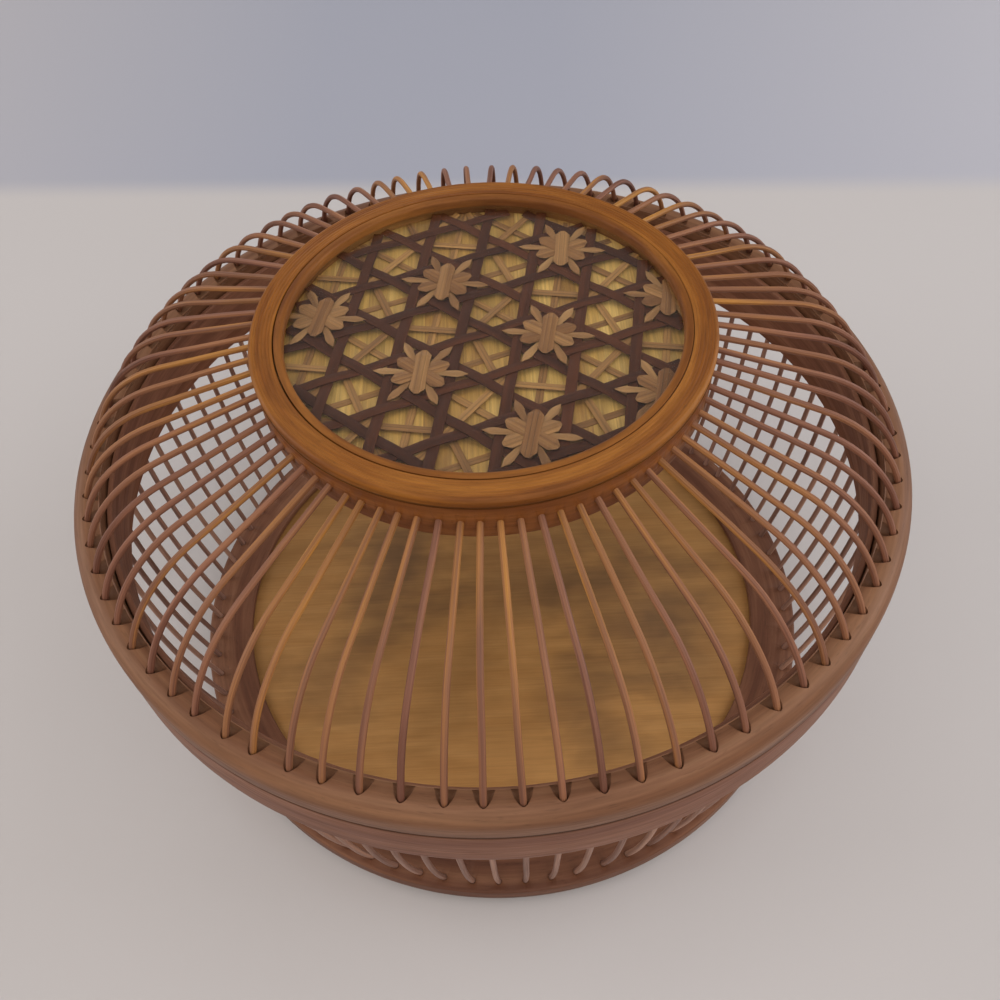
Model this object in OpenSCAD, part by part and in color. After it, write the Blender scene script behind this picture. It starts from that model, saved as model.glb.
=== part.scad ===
// Round cricket cage of split bamboo: a ribbed bowl and a ribbed lid that lifts off.
// A woven panel lies behind a clear disc in the crown of the lid.
// Millimetres, Z up, origin at the middle of the underside.

/* [Overall] */

// Outer diameter of the lid rim, the widest part
rim_diameter = 240; // [232:1:250]

// Height of the seam between bowl and lid above the table
seam_height = 95; // [85:1:110]

// Height from the seam to the top of the crown
lid_height = 47.5; // [45:0.5:55]

// Gap left at the seam between bowl and lid
seam_gap = 0.2; // [0.1:0.1:0.5]

/* [Ribs] */

// Thickness of one round rib
rib_diameter = 1.7; // [1.3:0.1:2.1]

// Number of ribs round the lid, a multiple of four
lid_rib_count = 80; // [60:4:88]

// Number of ribs round the bowl, a multiple of four
bowl_rib_count = 80; // [64:4:96]

// Play between a rib and the wall of its socket
rib_play = 0.1; // [0.05:0.05:0.2]

// Depth of the rib sockets
socket_depth = 3.8; // [2.5:0.1:4]

// Slope of the lid ribs where they leave the lid rim
lid_foot_slope = 68; // [60:1:76]

// Slope of the lid ribs where they enter the crown
lid_tip_slope = 15; // [10:1:22]

// Radius of the bend in the shoulder of a lid rib
lid_bend_radius = 36; // [20:1:36]

// Shaving taken off the rib where it is bent
bend_shave = 0.03; // [0.02:0.01:0.05]

// Outward bow of a bowl rib at half its height
bowl_rib_bow = 2.2; // [1:0.1:4]

/* [Rims] */

// Width of the lid rim, inside to outside
lid_rim_width = 8.2; // [7.6:0.1:10]

// Height of the lid rim
lid_rim_height = 9.3; // [8:0.1:12]

// Radius of the rounded outer shoulder of the lid rim
lid_rim_round = 4.4; // [2:0.1:4.6]

// Distance of the lid rib feet from the outside of the lid rim
lid_foot_inset = 5; // [4.4:0.1:5.6]

// Step of the bowl rim behind the outside of the lid rim
bowl_rim_step = 0.5; // [0:0.1:1]

// Width of the bowl rim, inside to outside
bowl_rim_width = 8.3; // [7.6:0.1:9]

// Height of the bowl rim
bowl_rim_height = 16; // [10:0.5:20]

// Distance of the bowl rib tips from the inside of the bowl rim
bowl_tip_inset = 2.4; // [2:0.1:4]

// Thickness of the locating hoop inside the bowl rim
locating_thickness = 1.3; // [1:0.1:2]

// Height of the locating hoop above the seam
locating_rise = 5; // [3:0.5:8]

// Depth of the locating hoop below the seam
locating_drop = 9.5; // [6:0.5:10]

// Glue line behind the locating hoop
glue_line = 0.1; // [0.05:0.05:0.2]

/* [Base] */

// Outer diameter of the base ring
base_diameter = 215; // [210:1:218]

// Width of the base ring, inside to outside
base_ring_width = 15.5; // [13:0.5:20]

// Height of the base ring
base_ring_height = 5.5; // [5.2:0.1:8]

// Distance of the bowl rib feet from the outside of the base ring
bowl_foot_inset = 3.5; // [2.8:0.1:5]

// Height of the foot ring under the base ring
foot_height = 2.5; // [1.5:0.5:5]

// Step of the foot ring behind the outside of the base ring
foot_step = 1.5; // [0.5:0.5:3]

// Thickness of the floor board
floor_thickness = 3; // [2:0.1:3.4]

// Width of the rebate that holds the edge of the floor board
floor_rebate = 4; // [2:0.5:6]

// Play round the floor board in its rebate
floor_play = 0.3; // [0.2:0.1:0.5]

/* [Crown] */

// Outer diameter of the ring that carries the rib tips
crown_diameter = 122; // [118:1:128]

// Width of the ring that carries the rib tips
socket_ring_width = 5; // [4.8:0.1:6]

// Height of the ring that carries the rib tips
socket_ring_height = 10.9; // [10:0.1:14]

// Height of the rib tips above the underside of their ring
crown_tip_height = 5.6; // [4.5:0.1:6]

// Width of the ledge under the panel
ledge_width = 3; // [2:0.1:4]

// Height of the top ring of the crown
top_ring_height = 3.2; // [3:0.1:5]

// Overhang of the top ring beyond the ring below it
top_ring_overhang = 0.3; // [0:0.1:1]

// Bevel on the outer edge of the top ring
top_ring_bevel = 1.6; // [0.5:0.1:2]

// Reach of the top ring inside the ring below it
top_ring_lap = 1; // [0.6:0.1:1.4]

// Width of the hoop that holds the clear disc down
retaining_width = 2.3; // [1.5:0.1:3]

// Play between the hoops and discs of the crown
crown_play = 0.2; // [0.1:0.1:0.3]

/* [Panel] */

// Thickness of the clear disc
disc_thickness = 1.5; // [1:0.1:2]

// Thickness of the veneer behind the weave
veneer_thickness = 0.8; // [0.5:0.1:1]

// Width of the spacer hoop between veneer and clear disc
spacer_width = 2; // [1.5:0.1:2.5]

// Distance between the middles of neighbouring hexagons
weave_pitch = 17.8; // [16:0.1:20]

// Turn of the weave about the axis
weave_turn = 20; // [0:1:60]

// Sideways place of the middle star
star_x = 17.1; // [10:0.1:24]

// Front to back place of the middle star
star_y = -2.9; // [-6:0.1:6]

// Width of the dark weave strips
weave_width = 3.2; // [2.4:0.1:4]

// Thickness of the dark weave strips
weave_thickness = 0.3; // [0.2:0.05:0.6]

// Width of the thin cross strips
cross_width = 2; // [1.2:0.1:2.6]

// Thickness of the thin cross strips
cross_thickness = 0.2; // [0.16:0.02:0.3]

// Gap between one layer of strips and the next
layer_gap = 0.02; // [0.01:0.01:0.03]

// Reach of the long rays of a star
star_long = 12; // [9:0.5:13]

// Reach of the valleys between the long rays
star_valley = 2.6; // [2:0.1:4]

// Distance from the middle of a star to the shoulders of a long ray
spear_shoulder = 8.8; // [7:0.1:10]

// Width of a long ray at its shoulders
spear_width = 1.9; // [1.4:0.1:2.4]

// Reach of the short rays of a star, which are broad petals
star_short = 7.3; // [6:0.1:8]

// Reach of the valleys between the petals
petal_valley = 5.7; // [4.6:0.1:6]

// Distance from the middle of a star to the shoulders of a petal
petal_shoulder = 6.6; // [5:0.1:7]

// Width of a petal at its shoulders
petal_width = 4.6; // [3.6:0.1:5]

// Width of the blunt end of a petal
petal_end = 2.2; // [1.6:0.1:3]

// Distance from the edge of the panel inside which no star is set
star_margin = 1.5; // [1:0.1:3]

// Thickness of one layer of a star
star_thickness = 0.2; // [0.16:0.02:0.3]

/* [Hidden] */

$fn = 96;

cut = 1;
socket_end_gap = 0.2;
quarter_turn = 90;
quarters = 4;
front_start = -135;
right_start = -45;
back_start = 45;
left_start = 135;
round_steps = 8;
bend_use = 0.97;
bend_lap = 0.3;
hexagon = 60;
star_rays = 6;
weave_layers = 3;
cross_layers = 2 * weave_layers;
star_layers = 2;
on_row = 0;
between_rows = 0.5;
strip_reach = 8;
star_span = 3;

rim_radius = rim_diameter / 2;
base_radius = base_diameter / 2;
crown_radius = crown_diameter / 2;
rib_radius = rib_diameter / 2;
socket_radius = rib_radius + rib_play;
rib_tail = socket_depth - socket_end_gap;

base_bottom = foot_height;
base_top = base_bottom + base_ring_height;
base_inside = base_radius - base_ring_width;
rebate_radius = base_inside + floor_rebate;
rebate_height = floor_thickness + floor_play;
floor_radius = rebate_radius - floor_play;

bowl_rim_outside = rim_radius - bowl_rim_step;
bowl_rim_inside = bowl_rim_outside - bowl_rim_width;
bowl_rim_bottom = seam_height - bowl_rim_height;
locating_outside = bowl_rim_inside - glue_line;
locating_inside = locating_outside - locating_thickness;

lid_rim_inside = rim_radius - lid_rim_width;
lid_rim_bottom = seam_height + seam_gap;
lid_rim_top = lid_rim_bottom + lid_rim_height;

crown_top = seam_height + lid_height;
top_ring_bottom = crown_top - top_ring_height;
socket_ring_bottom = top_ring_bottom - socket_ring_height;
socket_ring_inside = crown_radius - socket_ring_width;
ledge_inside = socket_ring_inside - ledge_width;
panel_radius = socket_ring_inside - crown_play - spacer_width - crown_play;

cross_step = cross_thickness + layer_gap;
weave_step = weave_thickness + layer_gap;
star_step = star_thickness + layer_gap;
strips_height = cross_layers * cross_step + weave_layers * weave_step;
stack_height = veneer_thickness + strips_height + star_layers * star_step;
disc_bottom = top_ring_bottom + crown_play - disc_thickness;
stack_bottom = disc_bottom - crown_play - stack_height - layer_gap;
ledge_top = stack_bottom - layer_gap;
cross_bottom = stack_bottom + veneer_thickness + layer_gap;
weave_bottom = cross_bottom + cross_layers * cross_step;
star_bottom = weave_bottom + weave_layers * weave_step;
retaining_bottom = disc_bottom + disc_thickness + layer_gap;
retaining_outside = socket_ring_inside - top_ring_lap - crown_play;

weave_row = weave_pitch * sqrt(3) / 2;

lid_foot = [rim_radius - lid_foot_inset, lid_rim_top];
lid_tip = [crown_radius, socket_ring_bottom + crown_tip_height];
bowl_foot = [base_radius - bowl_foot_inset, base_top];
bowl_tip = [bowl_rim_inside + bowl_tip_inset, bowl_rim_bottom];
bowl_chord = norm(bowl_tip - bowl_foot);
bowl_bend = (bowl_chord * bowl_chord / 4 + bowl_rib_bow * bowl_rib_bow) / (2 * bowl_rib_bow);
bowl_half_turn = asin(bowl_chord / 2 / bowl_bend);
bowl_chord_slope = atan2(bowl_tip[1] - bowl_foot[1], bowl_foot[0] - bowl_tip[0]);
bowl_foot_slope = bowl_chord_slope + bowl_half_turn;
bowl_tip_slope = bowl_chord_slope - bowl_half_turn;
bowl_tail_turn = rib_tail / bowl_bend * 180 / PI;

// Way a rib runs in the radius and height plane at a given slope
function way(slope) = [-cos(slope), sin(slope)];

// Side of a rib on which its bend is centred
function inward(slope) = [-sin(slope), -cos(slope)];

function cross_of(a, b) = a[0] * b[1] - a[1] * b[0];

// Length of the foot line up to the corner where it meets the tip line
function foot_run(foot, foot_slope, tip, tip_slope) =
    cross_of(tip - foot, way(tip_slope)) / cross_of(way(foot_slope), way(tip_slope));

// Length of the tip line from the corner to the tip
function tip_run(foot, foot_slope, tip, tip_slope) =
    cross_of(way(foot_slope), tip - foot) / cross_of(way(foot_slope), way(tip_slope));

// Largest bend that fits between foot and tip, up to the one asked for
function bend_fit(wanted, run_a, run_b, turn) = min(wanted, bend_use * min(run_a, run_b) / tan(turn / 2));

// Straight round bar from a point along a slope
module bar(from, slope, length, radius) {
    translate([from[0], 0, from[1]])
        rotate([0, slope - quarter_turn, 0])
            cylinder(r = radius, h = length);
}

// Round bar bent to an arc, drawn flat from the X axis
module arc_bar(bend, turn, radius) {
    rotate_extrude(angle = turn)
        translate([bend, 0])
            circle(r = radius);
}

// Turns a flat drawing up into the radius and height plane about a middle
module stand_up(middle, first_turn) {
    translate([middle[0], 0, middle[1]])
        rotate([quarter_turn, 0, 0])
            rotate([0, 0, first_turn])
                children();
}

// Lid rib with a straight foot, one bend and a straight tip
module bent_rib(foot, foot_slope, tip, tip_slope, wanted_bend) {
    turn = foot_slope - tip_slope;
    run_a = foot_run(foot, foot_slope, tip, tip_slope);
    run_b = tip_run(foot, foot_slope, tip, tip_slope);
    bend = bend_fit(wanted_bend, run_a, run_b, turn);
    trim = bend * tan(turn / 2);
    middle = foot + (run_a - trim) * way(foot_slope) + bend * inward(foot_slope);
    stand_up(middle, quarter_turn - foot_slope)
        union() {
            translate([bend, bend_lap, 0])
                rotate([quarter_turn, 0, 0])
                    cylinder(r = rib_radius, h = bend_lap + run_a - trim + rib_tail);
            arc_bar(bend, turn, rib_radius - bend_shave);
            rotate([0, 0, turn])
                translate([bend, -bend_lap, 0])
                    rotate([-quarter_turn, 0, 0])
                        cylinder(r = rib_radius, h = bend_lap + run_b - trim + rib_tail);
        }
}

// Bowl rib, bowed evenly from foot to tip
module bowed_rib() {
    stand_up(
        bowl_foot + bowl_bend * inward(bowl_foot_slope),
        quarter_turn - bowl_foot_slope - bowl_tail_turn
    )
        arc_bar(bowl_bend, 2 * (bowl_half_turn + bowl_tail_turn), rib_radius);
}

// Places its child at each rib of one quarter of the cage
module quarter(count, start) {
    pitch = 360 / count;
    for (k = [0 : count / quarters - 1])
        rotate([0, 0, start + k * pitch + pitch / 2])
            children();
}

// Places its child at each rib right round the cage
module all_round(count) {
    pitch = 360 / count;
    for (k = [0 : count - 1])
        rotate([0, 0, front_start + k * pitch + pitch / 2])
            children();
}

module lid_ribs(start) {
    quarter(lid_rib_count, start)
        bent_rib(lid_foot, lid_foot_slope, lid_tip, lid_tip_slope, lid_bend_radius);
}

module bowl_ribs(start) {
    quarter(bowl_rib_count, start)
        bowed_rib();
}

// Flat ring between two radii
module ring(inside, outside, bottom, height) {
    rotate_extrude()
        translate([inside, bottom])
            square([outside - inside, height]);
}

// Strips of one direction, cut to the round of the panel
module strip_row(direction, spacing, shift, width, thickness, bottom) {
    middle = star_y * cos(direction) - star_x * sin(direction);
    for (k = [-strip_reach : strip_reach]) {
        across = middle + (k + shift) * spacing;
        if (abs(across) < panel_radius - width)
            intersection() {
                rotate([0, 0, direction])
                    translate([-rim_radius, across - width / 2, bottom])
                        cube([rim_diameter, width, thickness]);
                translate([0, 0, bottom - cut])
                    cylinder(r = panel_radius, h = thickness + 2 * cut);
            }
    }
}

module weave_strips(family) {
    strip_row(
        weave_turn + family * hexagon,
        weave_row,
        between_rows,
        weave_width,
        weave_thickness,
        weave_bottom + family * weave_step
    );
}

module cross_strips_along(family) {
    strip_row(
        weave_turn + family * hexagon,
        2 * weave_row,
        on_row,
        cross_width,
        cross_thickness,
        cross_bottom + family * cross_step
    );
}

module cross_strips_across(family) {
    strip_row(
        weave_turn + quarter_turn + family * hexagon,
        weave_pitch,
        on_row,
        cross_width,
        cross_thickness,
        cross_bottom + (weave_layers + family) * cross_step
    );
}

// Corner of a valley on the right of a ray
function valley_corner(reach) = reach * [cos(hexagon / 2), -sin(hexagon / 2)];

// Corners of a long ray and of a petal
spear = [
    valley_corner(star_valley),
    [spear_shoulder, -spear_width / 2],
    [star_long, 0],
    [spear_shoulder, spear_width / 2]
];
petal = [
    valley_corner(petal_valley),
    [petal_shoulder, -petal_width / 2],
    [star_short, -petal_end / 2],
    [star_short, petal_end / 2],
    [petal_shoulder, petal_width / 2]
];

// Outline of one layer of a star, from the corners of one ray
module star_outline(ray) {
    polygon([
        for (k = [0 : star_rays - 1])
            for (corner = ray)
                let (turn = k * hexagon)
                    corner[0] * [cos(turn), sin(turn)] + corner[1] * [-sin(turn), cos(turn)]
    ]);
}

// One layer of every star, cut to the round of the panel
module star_layer(ray, turn, bottom) {
    for (i = [-star_span : star_span])
        for (j = [-star_span : star_span]) {
            along = 2 * weave_pitch * i;
            aside = 2 * weave_pitch * j;
            x = star_x + along * cos(weave_turn) + aside * cos(weave_turn - hexagon);
            y = star_y + along * sin(weave_turn) + aside * sin(weave_turn - hexagon);
            if (norm([x, y]) < panel_radius - star_margin)
                intersection() {
                    translate([x, y, bottom])
                        rotate([0, 0, weave_turn + turn])
                            linear_extrude(height = star_thickness)
                                star_outline(ray);
                    translate([0, 0, bottom - cut])
                        cylinder(r = panel_radius, h = star_thickness + 2 * cut);
                }
        }
}

// Hoop of solid bamboo that stands on the table
module foot_ring() {
    color("#6b4526")
        ring(base_inside, base_radius - foot_step, 0, foot_height);
}

// Round board held between foot ring and base ring
module floor_board() {
    color("#b08a5a")
        translate([0, 0, base_bottom])
            cylinder(r = floor_radius, h = floor_thickness);
}

// Flat ring with a socket for the foot of each bowl rib
module base_ring() {
    color("#7a4e2c")
        difference() {
            rotate_extrude()
                polygon([
                    [rebate_radius, base_bottom],
                    [base_radius, base_bottom],
                    [base_radius, base_top],
                    [base_inside, base_top],
                    [base_inside, base_bottom + rebate_height],
                    [rebate_radius, base_bottom + rebate_height]
                ]);
            all_round(bowl_rib_count)
                bar(
                    bowl_foot - socket_depth * way(bowl_foot_slope),
                    bowl_foot_slope,
                    socket_depth + cut,
                    socket_radius
                );
        }
}

module bowl_ribs_front() {
    color("#8a5230")
        bowl_ribs(front_start);
}

module bowl_ribs_right() {
    color("#8a5230")
        bowl_ribs(right_start);
}

module bowl_ribs_back() {
    color("#8a5230")
        bowl_ribs(back_start);
}

module bowl_ribs_left() {
    color("#8a5230")
        bowl_ribs(left_start);
}

// Deep hoop with a socket in its underside for the tip of each bowl rib
module bowl_rim() {
    color("#8c5c36")
        difference() {
            ring(bowl_rim_inside, bowl_rim_outside, bowl_rim_bottom, bowl_rim_height);
            all_round(bowl_rib_count)
                bar(
                    bowl_tip - cut * way(bowl_tip_slope),
                    bowl_tip_slope,
                    socket_depth + cut,
                    socket_radius
                );
        }
}

// Thin hoop glued inside the bowl rim that keeps the lid in place
module locating_hoop() {
    color("#a06c40")
        ring(locating_inside, locating_outside, seam_height - locating_drop, locating_drop + locating_rise);
}

// Hoop with a rounded shoulder and a socket for the foot of each lid rib
module lid_rim() {
    color("#9a6a40")
        difference() {
            rotate_extrude()
                polygon(concat(
                    [[lid_rim_inside, lid_rim_top], [lid_rim_inside, lid_rim_bottom]],
                    [[rim_radius, lid_rim_bottom]],
                    [
                        for (k = [0 : round_steps])
                            let (turn = k * quarter_turn / round_steps)
                                [rim_radius, lid_rim_top]
                                    + lid_rim_round * [cos(turn) - 1, sin(turn) - 1]
                    ]
                ));
            all_round(lid_rib_count)
                bar(
                    lid_foot - socket_depth * way(lid_foot_slope),
                    lid_foot_slope,
                    socket_depth + cut,
                    socket_radius
                );
        }
}

module lid_ribs_front() {
    color("#a8643a")
        lid_ribs(front_start);
}

module lid_ribs_right() {
    color("#a8643a")
        lid_ribs(right_start);
}

module lid_ribs_back() {
    color("#a8643a")
        lid_ribs(back_start);
}

module lid_ribs_left() {
    color("#a8643a")
        lid_ribs(left_start);
}

// Ring with a socket for the tip of each lid rib and a ledge for the panel
module crown_socket_ring() {
    color("#6e3d1e")
        difference() {
            rotate_extrude()
                polygon([
                    [ledge_inside, socket_ring_bottom],
                    [crown_radius, socket_ring_bottom],
                    [crown_radius, top_ring_bottom],
                    [socket_ring_inside, top_ring_bottom],
                    [socket_ring_inside, ledge_top],
                    [ledge_inside, ledge_top]
                ]);
            all_round(lid_rib_count)
                bar(
                    lid_tip - cut * way(lid_tip_slope),
                    lid_tip_slope,
                    socket_depth + cut,
                    socket_radius
                );
        }
}

// Round of straw-coloured veneer that shows through the weave
module backing_veneer() {
    color("#c79a4a")
        translate([0, 0, stack_bottom])
            cylinder(r = socket_ring_inside - crown_play, h = veneer_thickness);
}

module cross_strips_along_a() {
    color("#9a7440")
        cross_strips_along(0);
}

module cross_strips_along_b() {
    color("#9a7440")
        cross_strips_along(1);
}

module cross_strips_along_c() {
    color("#9a7440")
        cross_strips_along(2);
}

module cross_strips_across_a() {
    color("#9a7440")
        cross_strips_across(0);
}

module cross_strips_across_b() {
    color("#9a7440")
        cross_strips_across(1);
}

module cross_strips_across_c() {
    color("#9a7440")
        cross_strips_across(2);
}

module weave_strips_a() {
    color("#2e1a12")
        weave_strips(0);
}

module weave_strips_b() {
    color("#2e1a12")
        weave_strips(1);
}

module weave_strips_c() {
    color("#2e1a12")
        weave_strips(2);
}

module star_long_rays() {
    color("#b98d5c")
        star_layer(spear, hexagon / 2, star_bottom);
}

module star_short_rays() {
    color("#c49a68")
        star_layer(petal, 0, star_bottom + star_step);
}

// Hoop round the weave that carries the edge of the clear disc
module spacer_hoop() {
    color("#8a5c32")
        ring(
            panel_radius + crown_play,
            socket_ring_inside - crown_play,
            cross_bottom,
            disc_bottom - layer_gap - cross_bottom
        );
}

// Clear disc over the weave
module clear_disc() {
    color("#d8e4e4", 0.3)
        translate([0, 0, disc_bottom])
            cylinder(r = socket_ring_inside - crown_play, h = disc_thickness);
}

// Narrow hoop that holds the clear disc down
module retaining_hoop() {
    color("#a5702f")
        ring(
            retaining_outside - retaining_width,
            retaining_outside,
            retaining_bottom,
            crown_top - crown_play - retaining_bottom
        );
}

// Bright top ring of the crown, bevelled outside
module crown_ring() {
    color("#b06a24")
        rotate_extrude()
            polygon([
                [retaining_outside + crown_play, top_ring_bottom + crown_play + layer_gap],
                [socket_ring_inside + crown_play, top_ring_bottom + crown_play + layer_gap],
                [socket_ring_inside + crown_play, top_ring_bottom],
                [crown_radius + top_ring_overhang, top_ring_bottom],
                [crown_radius + top_ring_overhang, crown_top - top_ring_bevel],
                [crown_radius + top_ring_overhang - top_ring_bevel, crown_top],
                [retaining_outside + crown_play, crown_top]
            ]);
}

foot_ring();
floor_board();
base_ring();
bowl_ribs_front();
bowl_ribs_right();
bowl_ribs_back();
bowl_ribs_left();
bowl_rim();
locating_hoop();
lid_rim();
lid_ribs_front();
lid_ribs_right();
lid_ribs_back();
lid_ribs_left();
crown_socket_ring();
backing_veneer();
cross_strips_along_a();
cross_strips_along_b();
cross_strips_along_c();
cross_strips_across_a();
cross_strips_across_b();
cross_strips_across_c();
weave_strips_a();
weave_strips_b();
weave_strips_c();
star_long_rays();
star_short_rays();
spacer_hoop();
clear_disc();
retaining_hoop();
crown_ring();
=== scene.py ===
import math

import bmesh
import bpy
from mathutils import Matrix, Vector


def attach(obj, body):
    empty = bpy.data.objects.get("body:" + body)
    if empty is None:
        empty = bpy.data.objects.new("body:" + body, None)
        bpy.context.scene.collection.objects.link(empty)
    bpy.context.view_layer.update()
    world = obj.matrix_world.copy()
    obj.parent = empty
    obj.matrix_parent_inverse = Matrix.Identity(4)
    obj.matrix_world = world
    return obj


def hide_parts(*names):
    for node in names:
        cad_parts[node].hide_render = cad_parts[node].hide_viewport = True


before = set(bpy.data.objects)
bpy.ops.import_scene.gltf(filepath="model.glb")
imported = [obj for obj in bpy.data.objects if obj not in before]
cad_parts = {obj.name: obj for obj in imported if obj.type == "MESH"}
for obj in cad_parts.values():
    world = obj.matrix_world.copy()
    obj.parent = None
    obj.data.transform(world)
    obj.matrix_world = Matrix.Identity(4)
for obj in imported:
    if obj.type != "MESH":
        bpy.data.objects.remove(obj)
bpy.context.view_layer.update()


# Foot ring
# A flat hoop of laminated bamboo, glued under the base ring. It lifts the cage off the
# table and closes the rebate in which the floor board lies.
MM = 0.001
HOOP_STEPS = 192
ON_AXIS = 1e-6
SHARP_ANGLE = math.radians(38)


def eased(corners, steps=4):
    """Outline through corners of radius, height and easing, each rounded by its easing."""
    outline = []
    for i, (radius, height, easing) in enumerate(corners):
        here = Vector((radius, height))
        before = (Vector(corners[i - 1][:2]) - here).normalized()
        after = (Vector(corners[(i + 1) % len(corners)][:2]) - here).normalized()
        first = here + easing * before
        last = here + easing * after
        for k in range(steps + 1 if easing else 1):
            t = k / steps
            outline.append((1 - t) ** 2 * first + 2 * t * (1 - t) * here + t * t * last)
    return outline


def band_outline(inner, outer, bottom, top, easings):
    """Outline with four corners, eased in turn from the lower inner one outwards and up."""
    corners = ((inner, bottom), (outer, bottom), (outer, top), (inner, top))
    return eased([(*corner, easing) for corner, easing in zip(corners, easings)])


def turned(outline):
    """Mesh of a closed outline of radius and height in millimetres, turned about the axis."""
    shape = bmesh.new()
    poles = {i: shape.verts.new((0, 0, p.y * MM)) for i, p in enumerate(outline) if p.x < ON_AXIS}
    rows = []
    for k in range(HOOP_STEPS):
        turn = 2 * math.pi * k / HOOP_STEPS
        way = Vector((math.cos(turn), math.sin(turn), 0))
        rows.append([
            poles.get(i) or shape.verts.new(p.x * MM * way + Vector((0, 0, p.y * MM)))
            for i, p in enumerate(outline)
        ])
    for near, far in zip(rows, rows[1:] + rows[:1]):
        for i in range(len(outline)):
            j = (i + 1) % len(outline)
            corners = list(dict.fromkeys((near[i], far[i], far[j], near[j])))
            if len(corners) > 2:
                shape.faces.new(corners)
    bmesh.ops.recalc_face_normals(shape, faces=shape.faces)
    mesh = bpy.data.meshes.new("turned")
    shape.to_mesh(mesh)
    shape.free()
    return mesh


def settle(name, mesh, material, body, slot, *nodes):
    """Puts a finished mesh on its body as the piece that stands for these nodes of the frame."""
    mesh.name = name
    mesh.materials.clear()
    mesh.materials.append(material)
    mesh.shade_smooth()
    mesh.set_sharp_from_angle(angle=SHARP_ANGLE)
    piece = bpy.data.objects.new(name, mesh)
    bpy.context.scene.collection.objects.link(piece)
    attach(piece, body)
    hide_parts(*nodes)


def put(tree, kind, feeds=(), **settings):
    """Adds a node, sets it up and feeds its sockets with values or with other sockets."""
    node = tree.nodes.new(kind)
    for key, value in settings.items():
        setattr(node, key, value)
    for socket, source in dict(feeds).items():
        if isinstance(source, bpy.types.NodeSocket):
            tree.links.new(source, node.inputs[socket])
        else:
            node.inputs[socket].default_value = source
    return node


def made(tree, kind, feeds=(), **settings):
    """First output of a node that is put in a tree."""
    return put(tree, kind, feeds, **settings).outputs[0]


def calc(tree, operation, *values):
    """Output of a Math node on values or sockets."""
    return made(tree, "ShaderNodeMath", dict(enumerate(values)), operation=operation)


def plus(tree, *values):
    """Sum of two values or sockets."""
    return calc(tree, "ADD", *values)


def minus(tree, *values):
    """Difference of two values or sockets."""
    return calc(tree, "SUBTRACT", *values)


def times(tree, *values):
    """Product of two values or sockets."""
    return calc(tree, "MULTIPLY", *values)


def vector(tree, operation, *values):
    """Output of a Vector Math node on values or sockets."""
    node = put(tree, "ShaderNodeVectorMath", dict(enumerate(values)), operation=operation)
    return node.outputs["Value" if operation in ("LENGTH", "DISTANCE") else "Vector"]


def spot(tree, x=0.0, y=0.0, z=0.0):
    """Vector output put together from three values or sockets."""
    return made(tree, "ShaderNodeCombineXYZ", {0: x, 1: y, 2: z})


def axes_of(tree, source):
    """The three outputs of a vector taken apart."""
    return put(tree, "ShaderNodeSeparateXYZ", {0: source}).outputs


def own_place(tree):
    """Place of the shaded point on its piece."""
    return put(tree, "ShaderNodeTexCoord").outputs["Object"]


def round_place(tree):
    """Distance from the axis, height, and way out from the axis of the shaded point."""
    x, y, height = axes_of(tree, own_place(tree))
    outward = spot(tree, x, y)
    return vector(tree, "LENGTH", outward), height, outward


def off_by(tree, value, target):
    """Distance of a value from a target."""
    return calc(tree, "ABSOLUTE", minus(tree, value, target))


def remap(tree, value, low, high, to_low, to_high, **settings):
    """Output of a clamped Map Range node."""
    feeds = {0: value, 1: low, 2: high, 3: to_low, 4: to_high}
    return made(tree, "ShaderNodeMapRange", feeds, **settings)


def noise_to(tree, noise, low, high, span=(0.3, 0.7)):
    """Value that runs from low to high over the span of a noise."""
    return remap(tree, noise, *span, low, high)


def noise_at(tree, place, drift, detail):
    """Outputs of a noise at a place, with the drift as its fourth axis."""
    feeds = {"Vector": place, "W": drift, "Scale": 1, "Detail": detail}
    return put(tree, "ShaderNodeTexNoise", feeds, noise_dimensions="4D").outputs


def dye(red, green, blue):
    """Shader colour from the eight-bit values of a swatch."""
    parts = [v / 255 for v in (red, green, blue)]
    return [v / 12.92 if v <= 0.04045 else ((v + 0.055) / 1.055) ** 2.4 for v in parts] + [1]


def ramp(tree, value, *stops):
    """Colour output that runs through stops of position and swatch."""
    node = put(tree, "ShaderNodeValToRGB", {0: value})
    points = node.color_ramp.elements
    while len(points) < len(stops):
        points.new(1)
    for point, (position, swatch) in zip(points, stops):
        point.position = position
        point.color = dye(*swatch)
    return node.outputs[0]


def shaded(tree, colour, value):
    """Colour or vector output scaled by a value."""
    return made(tree, "ShaderNodeVectorMath", {0: colour, "Scale": value}, operation="SCALE")


def new_material(name):
    """Material, its node tree and the sockets of its surface."""
    material = bpy.data.materials.new(name)
    material.use_nodes = True
    tree = material.node_tree
    return material, tree, tree.nodes["Principled BSDF"].inputs


def dress(tree, surface, colour, roughness, height, relief, sheen, strength=0.5):
    """Gives a surface its colour, roughness and sheen, and a relief in millimetres."""
    feeds = {"Strength": strength, "Distance": relief * MM, "Height": height}
    tree.links.new(colour, surface["Base Color"])
    tree.links.new(roughness, surface["Roughness"])
    tree.links.new(made(tree, "ShaderNodeBump", feeds), surface["Normal"])
    surface["Specular IOR Level"].default_value = sheen


def new_group(name, kind, inputs, outputs):
    """Empty node group with named sockets, with the sockets of its input and output nodes."""
    group = bpy.data.node_groups.new(name, kind)
    for in_out, sockets in (("INPUT", inputs), ("OUTPUT", outputs)):
        for label, socket in sockets.items():
            group.interface.new_socket(label, in_out=in_out, socket_type=socket)
    return group, put(group, "NodeGroupInput").outputs, put(group, "NodeGroupOutput").inputs


def numbers(*labels):
    """Sockets for plain numbers."""
    return dict.fromkeys(labels, "NodeSocketFloat")


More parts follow.
